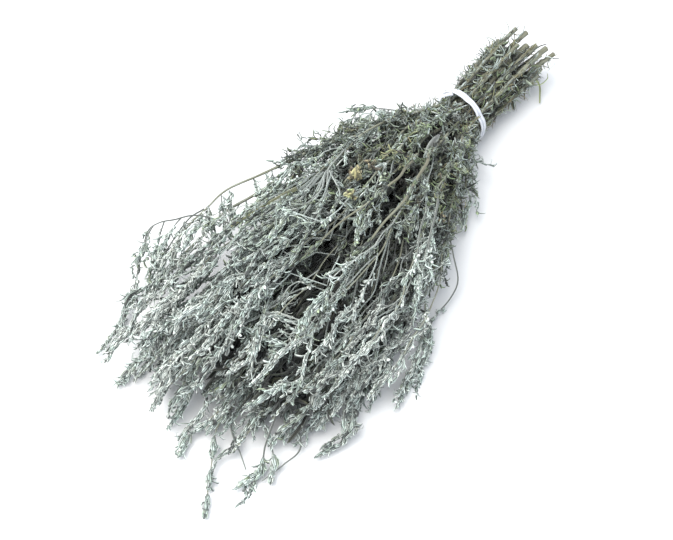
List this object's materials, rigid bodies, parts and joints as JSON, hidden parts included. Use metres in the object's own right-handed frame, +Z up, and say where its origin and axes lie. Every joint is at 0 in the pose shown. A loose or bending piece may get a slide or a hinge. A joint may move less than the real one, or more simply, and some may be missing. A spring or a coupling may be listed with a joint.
{
  "type": "tied bunch of dried wormwood",
  "caption": "Dried wormwood bunch lying on a surface: grey-green leafy stems cut to one length and held by a white elastic band near their cut ends.",
  "frame": {"origin": "middle of the surface that the bunch covers, at table height", "axes": "+X runs along the bunch from the leafy tips towards the cut ends, +Y is sideways across the bunch, +Z is up from the table"},
  "size_m": [0.4212, 0.1926, 0.0703],
  "materials": {
    "dried_herb": "dry and matt: silvery grey-green leaves and buds on pale straw to olive-brown stalks",
    "elastic": "satin white elastic with fine lengthwise lines"
  },
  "bodies": {
    "root": {"leafy_stem_01": "dried_herb", "leafy_stem_02": "dried_herb", "leafy_stem_03": "dried_herb", "leafy_stem_04": "dried_herb", "leafy_stem_05": "dried_herb", "leafy_stem_06": "dried_herb", "leafy_stem_07": "dried_herb", "leafy_stem_08": "dried_herb", "leafy_stem_09": "dried_herb", "leafy_stem_10": "dried_herb", "leafy_stem_11": "dried_herb", "leafy_stem_12": "dried_herb", "leafy_stem_13": "dried_herb", "leafy_stem_14": "dried_herb", "leafy_stem_15": "dried_herb", "leafy_stem_16": "dried_herb", "leafy_stem_17": "dried_herb", "leafy_stem_18": "dried_herb", "leafy_stem_19": "dried_herb", "leafy_stem_20": "dried_herb", "leafy_stem_21": "dried_herb", "leafy_stem_22": "dried_herb", "leafy_stem_23": "dried_herb", "leafy_stem_24": "dried_herb", "leafy_stem_25": "dried_herb", "leafy_stem_26": "dried_herb", "band": "elastic"}
  },
  "joints": []
}
